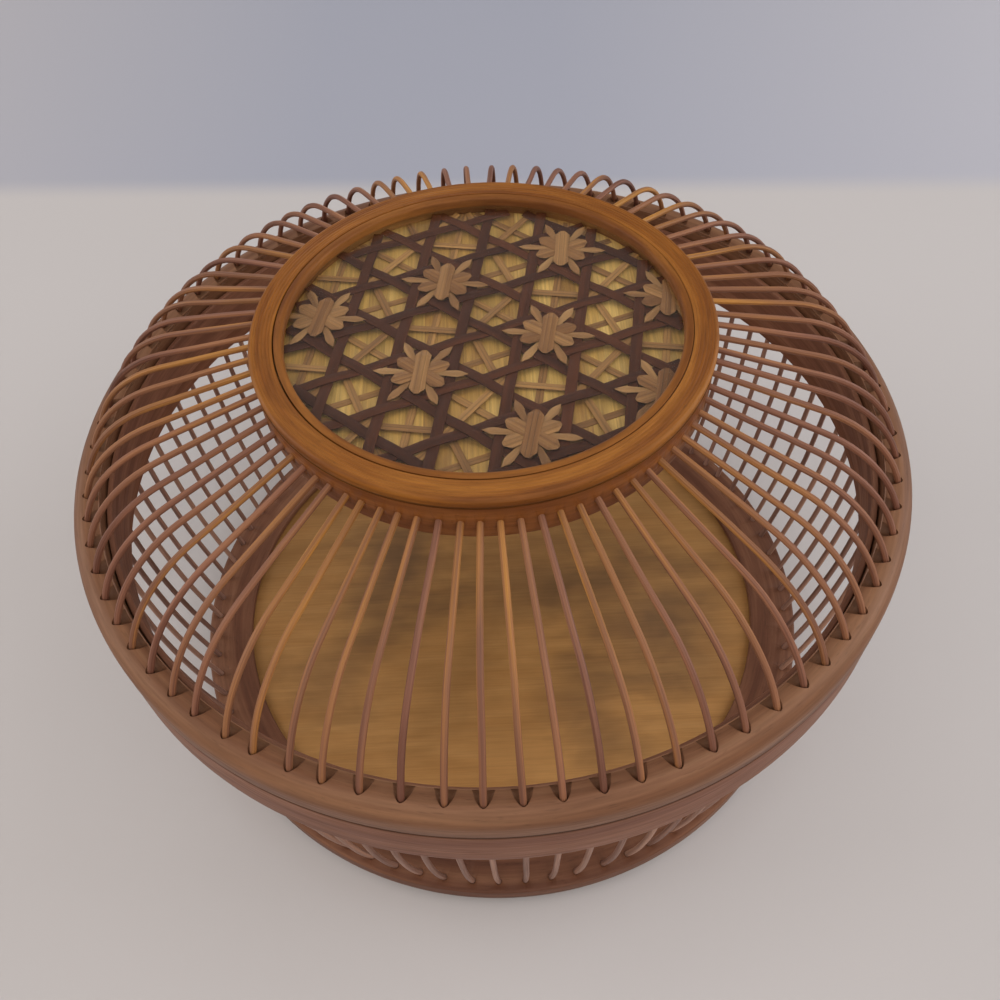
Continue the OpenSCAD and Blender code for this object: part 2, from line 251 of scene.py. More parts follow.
hoop_grain, given, result = new_group(
    "hoop_grain", "ShaderNodeTree", numbers("Seed"), numbers("Band", "Fibre", "Fleck")
)
tree = hoop_grain
reach, height, outward = round_place(tree)
around = axes_of(tree, vector(tree, "NORMALIZE", outward))
for label, fineness, turns, detail in (
    ("Band", 330, 1.6, 2),
    ("Fibre", 1500, 9, 3),
    ("Fleck", 2400, 34, 1),
):
    along, across = times(tree, around[0], turns), times(tree, reach, fineness)
    place = spot(tree, across, times(tree, height, fineness), along)
    drift = calc(tree, "MULTIPLY_ADD", around[1], turns, given["Seed"])
    tree.links.new(noise_at(tree, place, drift, detail)[0], result[label])

FLECK_SPAN = (0.62, 0.74)
SHADE_CORE = 0.4


def hoop_bamboo(name, seed, dark, middle, light, shade_zones=()):
    """Bent bamboo in three swatches, with its grain round the axis and zones of painted shade where parts
    meet.

    A zone is a height, a reach above and below it, a radius, a reach to each side of it, and
    the share of the colour that is left in the zone.
    """
    material, tree, surface = new_material(name)
    broad, fibre, fleck = put(tree, "ShaderNodeGroup", {"Seed": seed}, node_tree=hoop_grain).outputs
    base = ramp(tree, broad, (0.34, dark), (0.5, middle), (0.66, light))
    fibre_shade = noise_to(tree, fibre, 0.86, 1.12)
    tone = times(tree, fibre_shade, noise_to(tree, fleck, 1, 0.8, FLECK_SPAN))
    # Painted shade: each zone darkens the colour towards its middle, where shade falls at a join.
    for zone_height, above, zone_radius, aside, left in shade_zones:
        reach, height, _ = round_place(tree)
        clear = [
            remap(tree, off_by(tree, value, centre * MM), SHADE_CORE * far * MM, far * MM, 0, 1)
            for value, centre, far in ((height, zone_height, above), (reach, zone_radius, aside))
        ]
        zone_shade = remap(tree, calc(tree, "MAXIMUM", *clear), 0, 1, left, 1)
        tone = times(tree, tone, zone_shade)
    roughness = noise_to(tree, fibre, 0.6, 0.42)
    dress(tree, surface, shaded(tree, base, tone), roughness, tone, relief=0.14, sheen=0.22)
    return material


FOOT_TOP = 2.5
BASE_HOOP = hoop_bamboo("base_hoop_bamboo", 3, (78, 48, 34), (98, 64, 46), (118, 82, 60))
foot_outline = band_outline(inner=92, outer=106, bottom=0, top=FOOT_TOP, easings=(0.4, 0.7, 0.3, 0.3))
settle("foot_hoop", turned(foot_outline), BASE_HOOP, "bowl", "base_bamboo", "foot_ring")


# Floor board
# A thin round board faced with pale bamboo veneer, its figure running from side to side.
# It drops into the rebate of the base ring and the foot ring holds it there.
ARROW = "NodeSocketVector"
veneer_figure, given, result = new_group(
    "veneer_figure", "ShaderNodeTree", {"Place": ARROW}, numbers("Cloud", "Figure", "Line")
)
tree = veneer_figure
# Place runs along the grain in its first axis.
for label, fineness, detail in (
    ("Cloud", (30, 52, 52), 3),
    ("Figure", (30, 170, 170), 3),
    ("Line", (45, 1500, 900), 2),
):
    place = vector(tree, "MULTIPLY", given["Place"], fineness)
    feeds = {"Vector": place, "Scale": 1, "Detail": detail, "Distortion": 0.3}
    tree.links.new(made(tree, "ShaderNodeTexNoise", feeds), result[label])


def mixed(tree, share, first, second):
    """Colour output between two colours, by the colour sockets of a Mix node."""
    feeds = {0: share, 6: first, 7: second}
    return put(tree, "ShaderNodeMix", feeds, data_type="RGBA").outputs[2]


FLOOR_TOP = 5.5
# Painted shadows of the crown on the floor board: each patch has a middle, a reach and a depth of darkening.
SHADOW_CORE = 0.2
FLOOR_SHADOW_PATCHES = (
    ((54, -12), 40, 0.85),
    ((-40, 14), 30, 0.8),
    ((30, -48), 26, 0.5),
    ((16, 8), 34, 0.5),
    ((-60, -30), 20, 0.35),
)
CLOUD_SPAN = (0.35, 0.65)
SHADE_RAMP_FRONT, SHADE_RAMP_BACK = -75 * MM, 20 * MM
floor_veneer, tree, surface = new_material("floor_veneer")
place = own_place(tree)
cloud, streak, line = put(tree, "ShaderNodeGroup", {"Place": place}, node_tree=veneer_figure).outputs
base = ramp(tree, streak, (0.3, (164, 117, 64)), (0.5, (171, 124, 70)), (0.72, (179, 132, 77)))
ragged = calc(tree, "MULTIPLY_ADD", cloud, 0.05, calc(tree, "MULTIPLY_ADD", streak, 0.014, -0.032))
for middle, reach, depth in FLOOR_SHADOW_PATCHES:
    aside = vector(tree, "DISTANCE", place, Vector((*middle, FLOOR_TOP)) * MM)
    edge = plus(tree, aside, ragged)
    shadow_share = remap(tree, edge, SHADOW_CORE * reach * MM, reach * MM, depth, 0)
    base = mixed(tree, shadow_share, base, dye(112, 82, 55))
# Painted shade: the board is lighter at the front and darker towards the back, under the crown.
front_to_back_shade = remap(tree, axes_of(tree, place)[1], SHADE_RAMP_FRONT, SHADE_RAMP_BACK, 1.16, 0.92)
tone = times(tree, noise_to(tree, cloud, 0.86, 1.08, CLOUD_SPAN), front_to_back_shade)
tone = times(tree, tone, noise_to(tree, line, 1.03, 0.9, (0.35, 0.7)))
roughness = noise_to(tree, streak, 0.62, 0.5)
dress(tree, surface, shaded(tree, base, tone), roughness, line, relief=0.1, sheen=0.3, strength=0.4)
floor_outline = band_outline(inner=0, outer=95.7, bottom=FOOT_TOP, top=FLOOR_TOP, easings=(0, 0.3, 0.3, 0))
settle("floor_panel", turned(floor_outline), floor_veneer, "bowl", "floor_veneer", "floor_board")


# Base ring
# A flat ring of dark laminated bamboo, drilled from above with one socket for the foot of
# each bowl rib. The sockets are made by the same rule that places the ribs.
WHOLE = "NodeSocketInt"
SOLID = "NodeSocketGeometry"
BASE_INSIDE, BASE_OUTSIDE, BASE_TOP = 92, 107.5, 8
REBATE_RADIUS, REBATE_TOP = 96, 5.8
BOWL_RIM_BOTTOM = 79
BOWL_RIBS = {"Count": 80, "Start": math.radians(-135), "Stray": math.radians(0.3), "Seed": 11}
BOWL_FOOT, BOWL_TIP, BOWL_BOW = Vector((104, BASE_TOP)), Vector((113.6, BOWL_RIM_BOTTOM)), 2.2
RIB_RADIUS, RIB_TAIL = 0.85, 3.6
SOCKET_RADIUS, SOCKET_DEPTH, SOCKET_SIDES = 0.95, 3.8, 14


def slope_way(slope):
    """Direction in radius and height at a slope, leaning towards the axis below a right angle."""
    return Vector((-math.cos(slope), math.sin(slope)))


def upright(point):
    """Place in the frame of a point of radius and height in millimetres."""
    return point.x * MM, 0, point.y * MM


def shape_tree(name, inputs):
    """Empty tree that makes geometry in a material from named inputs, with its end sockets."""
    inputs = {**inputs, "Material": "NodeSocketMaterial"}
    return new_group(name, "GeometryNodeTree", inputs, {"Geometry": SOLID})


def drawn(tree, index, seed):
    """Random share for each index."""
    return put(tree, "FunctionNodeRandomValue", {"ID": index, "Seed": seed}).outputs[1]


def stored(tree, geometry, name, value, data_type="FLOAT"):
    """Geometry that keeps a value under a name."""
    feeds = {"Geometry": geometry, "Name": name, "Value": value}
    return made(tree, "GeometryNodeStoreNamedAttribute", feeds, data_type=data_type)


def named(tree, name):
    """Value that geometry keeps under a name."""
    return made(tree, "GeometryNodeInputNamedAttribute", {"Name": name})


def moved(tree, geometry, **place):
    """Geometry shifted and turned."""
    return made(tree, "GeometryNodeTransform", {0: geometry, **place})


def realized(tree, geometry):
    """Geometry with its copies made real."""
    return made(tree, "GeometryNodeRealizeInstances", {0: geometry})


def copied(tree, points, instance, **place):
    """Real copies of an instance on points."""
    feeds = {"Points": points, "Instance": instance, **place}
    return realized(tree, made(tree, "GeometryNodeInstanceOnPoints", feeds))


def delivered(tree, geometry, given, result):
    """Ends a tree with real geometry in the given material."""
    feeds = {0: realized(tree, geometry), "Material": given["Material"]}
    tree.links.new(made(tree, "GeometryNodeSetMaterial", feeds), result["Geometry"])


chord = BOWL_TIP - BOWL_FOOT
bowl_bend = (chord.length ** 2 / 4 + BOWL_BOW ** 2) / (2 * BOWL_BOW)
bowl_half_turn = math.asin(chord.length / 2 / bowl_bend)
bowl_lean = math.atan2(chord.y, -chord.x)
bowl_foot_slope = bowl_lean + bowl_half_turn
bowl_tip_slope = bowl_lean - bowl_half_turn

ROW_SOCKETS = {"Count": WHOLE, **numbers("Start", "Stray"), "Seed": WHOLE}
TONE_SEED_STEP = 7
rib_places, given, result = new_group("rib_places", "GeometryNodeTree", ROW_SOCKETS, {"Points": SOLID})
tree = rib_places
index = made(tree, "GeometryNodeInputIndex")
pitch = calc(tree, "DIVIDE", 2 * math.pi, given["Count"])
middle_turn = calc(tree, "MULTIPLY_ADD", plus(tree, index, 0.5), pitch, given["Start"])
drift = calc(tree, "MULTIPLY_ADD", drawn(tree, index, given["Seed"]), 2, -1)
swing = times(tree, drift, given["Stray"])
tone_seed = plus(tree, given["Seed"], TONE_SEED_STEP)
points = made(tree, "GeometryNodePoints", {"Count": given["Count"]})
points = stored(tree, points, "rib_turn", plus(tree, middle_turn, swing))
points = stored(tree, points, "rib_tone", drawn(tree, index, tone_seed))
tree.links.new(points, result["Points"])


def placed(tree, given, instance):
    """Real copies of an instance at the places of a row of ribs."""
    feeds = {label: given[label] for label in ROW_SOCKETS}
    row = made(tree, "GeometryNodeGroup", feeds, node_tree=rib_places)
    return copied(tree, row, instance, Rotation=spot(tree, z=named(tree, "rib_turn")))


def grown(tree, values, start=None):
    """Plain mesh that a tree makes, from named values and a mesh to start from."""
    host = bpy.data.objects.new("host", start or bpy.data.meshes.new("host"))
    bpy.context.scene.collection.objects.link(host)
    modifier = host.modifiers.new(tree.name, "NODES")
    modifier.node_group = tree
    for item in tree.interface.items_tree:
        if item.item_type == "SOCKET" and item.in_out == "INPUT" and item.name in values:
            modifier[item.identifier] = values[item.name]
    bpy.context.view_layer.update()
    graph = bpy.context.evaluated_depsgraph_get()
    mesh = bpy.data.meshes.new_from_object(
        host.evaluated_get(graph), preserve_all_data_layers=True, depsgraph=graph
    )
    bpy.data.objects.remove(host)
    return mesh


drill_row, given, result = shape_tree("drill_row", {
    "Hoop": SOLID,
    **ROW_SOCKETS,
    "Mouth": ARROW,
    **numbers("Lean", "Bore", "Depth", "Flare", "Flare Depth", "Flare Lean"),
})
tree = drill_row
bore_length, flare_width, cone_length = (
    times(tree, given[label], 2) for label in ("Depth", "Flare", "Flare Depth")
)
feeds = {"Vertices": SOCKET_SIDES, "Radius": given["Bore"], "Depth": bore_length}
bore = made(tree, "GeometryNodeMeshCylinder", feeds)
feeds = {"Vertices": SOCKET_SIDES, "Radius Top": flare_width, "Radius Bottom": 0.0, "Depth": cone_length}
cone = made(tree, "GeometryNodeMeshCone", feeds)
sunk = times(tree, given["Flare Depth"], -1)
cone = moved(tree, cone, Translation=spot(tree, z=sunk))
feeds = {"Mesh 1": given["Hoop"]}
bored = put(tree, "GeometryNodeMeshBoolean", feeds, operation="DIFFERENCE", solver="MANIFOLD")
for tool, lean in ((bore, "Lean"), (cone, "Flare Lean")):
    tool = moved(tree, tool, Translation=given["Mouth"], Rotation=spot(tree, y=given[lean]))
    tree.links.new(placed(tree, given, tool), bored.inputs["Mesh 2"])
delivered(tree, bored.outputs["Mesh"], given, result)


def drilled(outline, material, row, mouth, lean, flare, flare_depth, flare_swing=0, bore=SOCKET_RADIUS):
    """Mesh of a turned hoop with a row of flared sockets, from sizes in millimetres."""
    values = {
        **row,
        "Mouth": upright(mouth),
        "Lean": lean,
        "Bore": bore * MM,
        "Depth": SOCKET_DEPTH * MM,
        "Flare": flare * MM,
        "Flare Depth": flare_depth * MM,
        "Flare Lean": lean + flare_swing,
        "Material": material,
    }
    return grown(drill_row, values, turned(outline))


RING_HOOP = hoop_bamboo("base_ring_bamboo", 5, (100, 62, 45), (118, 77, 56), (134, 92, 68))
base_outline = eased([
    (REBATE_RADIUS, FOOT_TOP, 0),
    (BASE_OUTSIDE, FOOT_TOP, 0.4),
    (BASE_OUTSIDE, BASE_TOP, 0.8),
    (BASE_INSIDE, BASE_TOP, 0.5),
    (BASE_INSIDE, REBATE_TOP, 0.3),
    (REBATE_RADIUS, REBATE_TOP, 0),
])
base_mesh = drilled(
    base_outline, RING_HOOP, BOWL_RIBS, BOWL_FOOT,
    lean=bowl_foot_slope - math.pi / 2, flare=1.15, flare_depth=0.6,
)
settle("base_hoop", base_mesh, RING_HOOP, "bowl", "base_bamboo", "base_ring")


# Bowl ribs
# Eighty round splints of split and shaved bamboo, stained red-brown. Each one is
# sprung between a socket in the base ring and a socket in the bowl rim.
BEND_STEPS, RIB_SIDES = 16, 9
PARING_START, PARING_END = 0.12, 0.6
WANDER_FINENESS, OWN_WANDER, OWN_GRAIN = 26, 300, 170
QUARTERS = ("front", "right", "back", "left")


def swept(tree, threads, section):
    """Closed mesh of a section drawn along threads."""
    feeds = {"Curve": threads, "Profile Curve": section, "Fill Caps": True}
    return made(tree, "GeometryNodeCurveToMesh", feeds)


def marked(tree, section, name):
    """Section whose points keep their places under a name."""
    return stored(tree, section, name, made(tree, "GeometryNodeInputPosition"), "FLOAT_VECTOR")


rib_row, given, result = shape_tree("rib_row", {
    **ROW_SOCKETS,
    "Foot": ARROW, "Corner": ARROW, "Tip": ARROW, "Steps": WHOLE,
    **numbers("Bend", "Radius", "Paring", "Sway"),
})
tree = rib_row
corner_of = put(tree, "GeometryNodeIndexSwitch", data_type="VECTOR")
corner_of.index_switch_items.new()
tree.links.new(made(tree, "GeometryNodeInputIndex"), corner_of.inputs["Index"])
for k, label in enumerate(("Foot", "Corner", "Tip")):
    tree.links.new(given[label], corner_of.inputs[str(k)])
thread = made(tree, "GeometryNodeMeshLine", {"Count": 3})
thread = made(tree, "GeometryNodeSetPosition", {0: thread, "Position": corner_of.outputs[0]})
thread = made(tree, "GeometryNodeMeshToCurve", {0: thread})
feeds = {"Curve": thread, "Count": BEND_STEPS, "Radius": given["Bend"], "Limit Radius": True}
thread = made(tree, "GeometryNodeFilletCurve", feeds, mode="POLY")
thread = made(tree, "GeometryNodeResampleCurve", {"Curve": thread, "Count": given["Steps"]})
course = put(tree, "GeometryNodeSplineParameter").outputs
thread = stored(tree, thread, "rib_along", course["Length"])
threads = placed(tree, given, thread)
along = spot(tree, z=times(tree, named(tree, "rib_along"), WANDER_FINENESS))
drift = times(tree, named(tree, "rib_tone"), OWN_WANDER)
wander = vector(tree, "SUBTRACT", noise_at(tree, along, drift, 1)["Color"], (0.5, 0.5, 0.5))
free = calc(tree, "SINE", times(tree, course["Factor"], math.pi))
sway = shaded(tree, wander, times(tree, free, given["Sway"]))
threads = made(tree, "GeometryNodeSetPosition", {0: threads, "Offset": sway})
pared = remap(tree, course["Factor"], PARING_START, PARING_END, 0, 1)
girth = minus(tree, 1, times(tree, pared, given["Paring"]))
threads = made(tree, "GeometryNodeSetCurveRadius", {"Curve": threads, "Radius": girth})
feeds = {"Resolution": RIB_SIDES, "Radius": given["Radius"]}
section = marked(tree, made(tree, "GeometryNodeCurvePrimitiveCircle", feeds), "rib_section")
delivered(tree, swept(tree, threads, section), given, result)

splint_grain, given, result = new_group(
    "splint_grain", "ShaderNodeTree",
    {"Section": ARROW, **numbers("Along", "Tone")}, numbers("Streak", "Fibre", "Wear"),
)
tree = splint_grain
sides = axes_of(tree, given["Section"])
drift = times(tree, given["Tone"], OWN_GRAIN)
for label, across, lengthways in (("Streak", 900, 14), ("Fibre", 3600, 60), ("Wear", 300, 60)):
    x, y = times(tree, sides[0], across), times(tree, sides[1], across)
    place = spot(tree, x, y, times(tree, given["Along"], lengthways))
    tree.links.new(noise_at(tree, place, drift, 2)[0], result[label])


def reading(tree, name, output):
    """Output of an Attribute node."""
    return put(tree, "ShaderNodeAttribute", attribute_name=name).outputs[output]


def splint_bamboo(
    name, kind, stops, contrast, sheen, rough=(0.42, 0.58), relief=0.05, split=None, lit_along=None
):
    """Split bamboo whose grain follows the piece, with swatches picked by its tone and streaks.

    A split is a place across the piece and its width. Painted light along the piece is a span along it
    and the shift of the swatches at its two ends, darker low down and lighter higher up.
    """
    material, tree, surface = new_material(name)
    tone = reading(tree, kind + "_tone", "Fac")
    along = reading(tree, kind + "_along", "Fac")
    section = reading(tree, kind + "_section", "Vector")
    feeds = {"Along": along, "Section": section, "Tone": tone}
    streak, fibre, wear = put(tree, "ShaderNodeGroup", feeds, node_tree=splint_grain).outputs
    mellow = calc(tree, "MULTIPLY_ADD", wear, 0.4, calc(tree, "MULTIPLY_ADD", tone, 0.6, -0.5))
    # Painted light: the swatches shift along the piece as if more light falls higher up.
    if lit_along:
        mellow = plus(tree, mellow, remap(tree, along, *lit_along))
    base = ramp(tree, plus(tree, streak, mellow), *stops)
    streak_shade = noise_to(tree, streak, 1 - contrast, 1 + contrast)
    shade = times(tree, streak_shade, noise_to(tree, fibre, 1 - contrast / 2, 1 + contrast / 2))
    if split:
        split_place, split_width = (size * MM for size in split)
        aside = calc(tree, "ABSOLUTE", axes_of(tree, section)[0])
        away = off_by(tree, aside, split_place)
        shade = times(tree, shade, remap(tree, away, split_width / 3, split_width, 0.6, 1))
    smooth, dull = rough
    roughness = noise_to(tree, fibre, dull, smooth)
    dress(tree, surface, shaded(tree, base, shade), roughness, fibre, relief, sheen)
    return material


def sprung(material, row, foot, foot_slope, tip, tip_slope, bend, steps, paring, sway):
    """Mesh of a row of ribs, from sizes in millimetres and the share pared off at the tip."""
    foot_way, tip_way = slope_way(foot_slope), slope_way(tip_slope)
    values = {
        **row,
        "Foot": upright(foot - RIB_TAIL * foot_way),
        "Corner": upright(foot + foot_way * (tip - foot).cross(tip_way) / foot_way.cross(tip_way)),
        "Tip": upright(tip + RIB_TAIL * tip_way),
        "Bend": bend * MM,
        "Steps": steps,
        "Radius": RIB_RADIUS * MM,
        "Paring": paring,
        "Sway": sway * MM,
        "Material": material,
    }
    return grown(rib_row, values)


BOWL_SPLINT = splint_bamboo(
    "bowl_splint_bamboo", "rib",
    [(0.1, (128, 94, 81)), (0.4, (144, 108, 93)), (0.65, (158, 120, 103)), (0.9, (172, 132, 111))],
    contrast=0.2, sheen=0.24, rough=(0.46, 0.62), relief=0.08,
)
bowl_rib_mesh = sprung(
    BOWL_SPLINT, BOWL_RIBS,
    foot=BOWL_FOOT, foot_slope=bowl_foot_slope, tip=BOWL_TIP, tip_slope=bowl_tip_slope,
    bend=bowl_bend, steps=16, paring=0, sway=0.8,
)
bowl_rib_nodes = ["bowl_ribs_" + quarter for quarter in QUARTERS]
settle("bowl_splints", bowl_rib_mesh, BOWL_SPLINT, "bowl", "bowl_rib_bamboo", *bowl_rib_nodes)


# Bowl rim
# A deep hoop of thick bamboo strip, bent round and scarfed. The tips of the bowl ribs
# enter sockets in its underside, and its top edge meets the lid rim at the seam.
SEAM = 95
RIM_RADIUS = 120
# Painted shade along the seam where the lid rim sits on the bowl rim.
SEAM_SHADE = (95.1, 0.85, RIM_RADIUS, 1.6, 0.3)
BOWL_RIM = hoop_bamboo(
    "bowl_rim_bamboo", 8, (116, 73, 54), (130, 85, 63), (142, 97, 73), shade_zones=[SEAM_SHADE]
)
bowl_rim_outline = band_outline(
    inner=111.2, outer=119.9, bottom=BOWL_RIM_BOTTOM, top=SEAM, easings=(0.6, 1.8, 0.8, 0.5)
)
bowl_rim_mesh = drilled(
    bowl_rim_outline, BOWL_RIM, BOWL_RIBS, BOWL_TIP,
    lean=bowl_tip_slope + math.pi / 2, flare=1.15, flare_depth=0.5,
)
settle("bowl_hoop", bowl_rim_mesh, BOWL_RIM, "bowl", "rim_bamboo", "bowl_rim")


# Locating hoop
# A thin bent strip glued inside the bowl rim. It stands proud of the seam and keeps the
# lid from sliding off.
LOCATING_BOTTOM, LOCATING_TOP = 85.5, 100
LOCATING_INSIDE, LOCATING_FOOT, LOCATING_LIP = 109.8, 111.15, 111.4
LOCATING = hoop_bamboo("locating_bamboo", 13, (116, 74, 56), (132, 88, 67), (146, 101, 78))
locating_outline = eased([
    (LOCATING_INSIDE, LOCATING_BOTTOM, 0.3),
    (LOCATING_FOOT, LOCATING_BOTTOM, 0.3),
    (LOCATING_LIP, LOCATING_TOP, 0.5),
    (LOCATING_INSIDE, LOCATING_TOP, 0.5),
])
settle("locating_strip", turned(locating_outline), LOCATING, "bowl", "rim_bamboo", "locating_hoop")


# Lid rim
# A bent bamboo hoop with a rounded outer shoulder, drilled from above. Each socket has a
# flared mouth, where the foot of a lid rib goes in.
LID_RIM_INSIDE, LID_RIM_BOTTOM, LID_RIM_TOP = 111.8, 95.2, 104.5
LID_RIBS = {"Count": 80, "Start": math.radians(-135), "Stray": math.radians(0.35), "Seed": 4}
LID_FOOT, LID_TIP = Vector((115, LID_RIM_TOP)), Vector((61, 134))
LID_FOOT_SLOPE, LID_TIP_SLOPE, LID_BEND = math.radians(68), math.radians(15), 36
SHOULDER, SHOULDER_STEPS = 4.4, 10
SIDE_HEIGHT = 97
WORN_EDGE = ((119.1, LID_RIM_BOTTOM), (119.7, 95.45), (RIM_RADIUS, 96))
# Painted shade in the flared mouths of the lid rib sockets, where the ribs go in.
SOCKET_SHADE = (103, 1.3, 113.8, 2.4, 0.75)
LID_RIM = hoop_bamboo(
    "lid_rim_bamboo", 21, (112, 73, 50), (124, 84, 59), (136, 96, 69), shade_zones=[SEAM_SHADE, SOCKET_SHADE]
)
shoulder = [
    Vector((RIM_RADIUS, LID_RIM_TOP)) + SHOULDER * Vector((math.cos(turn) - 1, math.sin(turn) - 1))
    for turn in (math.pi / 2 * k / SHOULDER_STEPS for k in range(SHOULDER_STEPS + 1))
]
# The two outer corners only steer the easing; the worn edge and the shoulder take their place.
inner_side = eased([
    (LID_RIM_INSIDE, LID_RIM_TOP, 0.6),
    (LID_RIM_INSIDE, LID_RIM_BOTTOM, 0.4),
    (RIM_RADIUS, LID_RIM_BOTTOM, 0),
    (RIM_RADIUS, SIDE_HEIGHT, 0),
])[:-2]
lid_rim_mesh = drilled(
    inner_side + [Vector(point) for point in WORN_EDGE] + shoulder,
    LID_RIM, LID_RIBS, LID_FOOT,
    lean=LID_FOOT_SLOPE - math.pi / 2, flare=1.6, flare_depth=2.3, flare_swing=math.radians(-38),
)
settle("lid_hoop", lid_rim_mesh, LID_RIM, "lid", "rim_bamboo", "lid_rim")


# Lid ribs
# Eighty round splints, heat-bent at the shoulder, pared thinner towards the crown and
# varnished in uneven colours. They stand in the lid rim and plug into the side of the crown.
LID_PARING = 0.2
# Painted light: each lid rib is darker near its foot and lighter towards the crown.
LID_SPLINT = splint_bamboo(
    "lid_splint_bamboo", "rib",
    [
        (0.1, (118, 76, 60)), (0.34, (134, 89, 69)), (0.56, (143, 96, 67)),
        (0.77, (156, 105, 60)), (0.94, (176, 121, 56)),
    ],
    contrast=0.2, sheen=0.24, rough=(0.44, 0.6), relief=0.08, lit_along=(0.01, 0.05, -0.14, 0.1),
)
lid_rib_mesh = sprung(
    LID_SPLINT, LID_RIBS,
    foot=LID_FOOT, foot_slope=LID_FOOT_SLOPE, tip=LID_TIP, tip_slope=LID_TIP_SLOPE,
    bend=LID_BEND, steps=26, paring=LID_PARING, sway=1.1,
)
lid_rib_nodes = ["lid_ribs_" + quarter for quarter in QUARTERS]
settle("lid_splints", lid_rib_mesh, LID_SPLINT, "lid", "lid_rib_bamboo", *lid_rib_nodes)


# Crown socket ring
# A turned ring of darker bamboo that takes the tips of the lid ribs in its side. A ledge
# inside it carries the panel.
LEDGE_INSIDE, LEDGE_TOP = 53, 134.24
SOCKET_RING_INSIDE, SOCKET_RING_BOTTOM, SOCKET_RING_TOP = 56, 128.4, 139.3
DARK_CROWN = hoop_bamboo("dark_crown_bamboo", 34, (116, 64, 28), (132, 77, 35), (147, 90, 43))
socket_outline = eased([
    (LEDGE_INSIDE, SOCKET_RING_BOTTOM, 0.4),
    (LID_TIP.x, SOCKET_RING_BOTTOM, 0.8),
    (LID_TIP.x, SOCKET_RING_TOP, 0.3),
    (SOCKET_RING_INSIDE, SOCKET_RING_TOP, 0.2),
    (SOCKET_RING_INSIDE, LEDGE_TOP, 0),
    (LEDGE_INSIDE, LEDGE_TOP, 0.3),
])
socket_mesh = drilled(
    socket_outline, DARK_CROWN, LID_RIBS, LID_TIP,
    lean=LID_TIP_SLOPE + math.pi / 2, flare=1.1, flare_depth=0.5,
    bore=SOCKET_RADIUS - LID_PARING * RIB_RADIUS,
)
settle("socket_hoop", socket_mesh, DARK_CROWN, "lid", "dark_crown_bamboo", "crown_socket_ring")


# Backing veneer
# Strips of split straw laid side by side on a round backing, golden and glossy, with the
# grain from front to back. It shows through the holes of the weave.
STRAW_WIDTH, OWN_FIGURE = 5.2, 0.37
PANEL_EDGE = 55.8
straw_veneer, tree, surface = new_material("straw_veneer")
side, forward, _ = axes_of(tree, own_place(tree))
straw = calc(tree, "FLOOR", calc(tree, "DIVIDE", side, STRAW_WIDTH * MM))
straw_tone = put(tree, "ShaderNodeTexWhiteNoise", {"W": straw}, noise_dimensions="1D").outputs["Value"]
place = spot(tree, forward, side, times(tree, straw, OWN_FIGURE))
cloud, streak, line = put(tree, "ShaderNodeGroup", {"Place": place}, node_tree=veneer_figure).outputs
mellow = calc(tree, "MULTIPLY_ADD", straw_tone, 0.35, calc(tree, "MULTIPLY_ADD", streak, 0.8, -0.1))
base = ramp(tree, mellow, (0.2, (150, 107, 50)), (0.5, (182, 141, 70)), (0.75, (205, 167, 94)))
clouded = noise_to(tree, cloud, 0.84, 1.1, CLOUD_SPAN)
tone = times(tree, clouded, noise_to(tree, line, 0.74, 1.12, CLOUD_SPAN))
roughness = noise_to(tree, line, 0.5, 0.32)
dress(tree, surface, shaded(tree, base, tone), roughness, line, relief=0.08, sheen=0.5)
veneer_outline = band_outline(
    inner=0, outer=PANEL_EDGE, bottom=134.26, top=135.06, easings=(0, 0.1, 0.1, 0)
)
settle("straw_backing", turned(veneer_outline), straw_veneer, "lid", "straw_veneer", "backing_veneer")


# Cross strips
# Thin natural strips in six directions, laid behind the weave so that two of them cross
# in each open hexagon. Their ends lie under the hoops of the crown.
STRIP_STEP = 1.1
STRIP_EASING = 0.3


def kept_within(tree, points, value, limit):
    """Points without those whose value is over a limit."""
    feeds = {"A": value, "B": limit}
    outside = made(tree, "FunctionNodeCompare", feeds, data_type="FLOAT", operation="GREATER_THAN")
    return made(tree, "GeometryNodeDeleteGeometry", {0: points, "Selection": outside})


def strip_section(tree, width, thickness, easing):
    """Flat section with corners eased by a share of its thickness."""
    feeds = {"Width": width, "Height": thickness}
    section = made(tree, "GeometryNodeCurvePrimitiveQuadrilateral", feeds)
    feeds = {"Curve": section, "Count": 2, "Radius": times(tree, thickness, easing)}
    return made(tree, "GeometryNodeFilletCurve", feeds, mode="POLY")


strip_row, given, result = shape_tree("strip_row", {
    "Count": WHOLE, "Seed": WHOLE, "Star": ARROW,
    **numbers("Spacing", "Shift", "Direction", "Reach", "Width", "Thickness", "Height", "Lift", "Wave"),
})
tree = strip_row
cosine, sine = (calc(tree, ratio, given["Direction"]) for ratio in ("COSINE", "SINE"))
star = axes_of(tree, given["Star"])
star_along = calc(tree, "MULTIPLY_ADD", star[0], cosine, times(tree, star[1], sine))
star_across = minus(tree, times(tree, star[1], cosine), times(tree, star[0], sine))
index = made(tree, "GeometryNodeInputIndex")
half_count = calc(tree, "DIVIDE", minus(tree, given["Count"], 1), 2)
row = minus(tree, index, half_count)
across = calc(tree, "MULTIPLY_ADD", plus(tree, row, given["Shift"]), given["Spacing"], star_across)
feeds = {"Count": given["Count"], "Position": spot(tree, y=across)}
points = made(tree, "GeometryNodePoints", feeds)
points = stored(tree, points, "strip_tone", drawn(tree, index, given["Seed"]))
points = stored(tree, points, "strip_row", row)
place = axes_of(tree, made(tree, "GeometryNodeInputPosition"))
offside = calc(tree, "MULTIPLY_ADD", given["Width"], 0.5, calc(tree, "ABSOLUTE", place[1]))
points = kept_within(tree, points, offside, minus(tree, given["Reach"], given["Width"]))
reach_square, offside_square = (times(tree, size, size) for size in (given["Reach"], offside))
